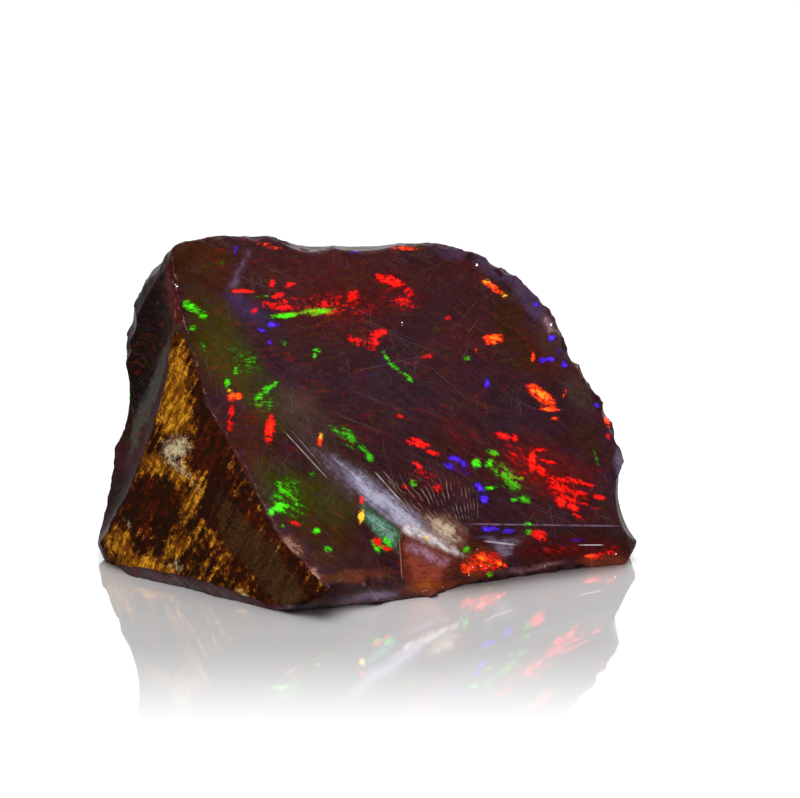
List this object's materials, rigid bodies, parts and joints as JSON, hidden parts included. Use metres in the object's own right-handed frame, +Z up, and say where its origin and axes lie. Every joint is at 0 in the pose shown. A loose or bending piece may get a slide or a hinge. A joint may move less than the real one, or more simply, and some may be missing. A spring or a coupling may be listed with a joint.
{
  "type": "rough opal",
  "caption": "Rough chunk of dark opal with flaked glassy faces, chipped rims, a flat base to rest on, and a lumpy ochre rind left on its front left side.",
  "frame": {"origin": "on the flat resting face, under the middle of the stone's box", "axes": "+X to the right along the longest extent, +Y to the back, away from the broad front face, +Z up, the shortest extent"},
  "size_m": [0.0466, 0.032, 0.0283],
  "materials": {
    "opal": "glassy dark purple-brown opal with red, orange, green and violet play of colour, and a rough ochre and brown rind on one side"
  },
  "bodies": {
    "root": {"rough_opal": "opal"}
  },
  "joints": []
}
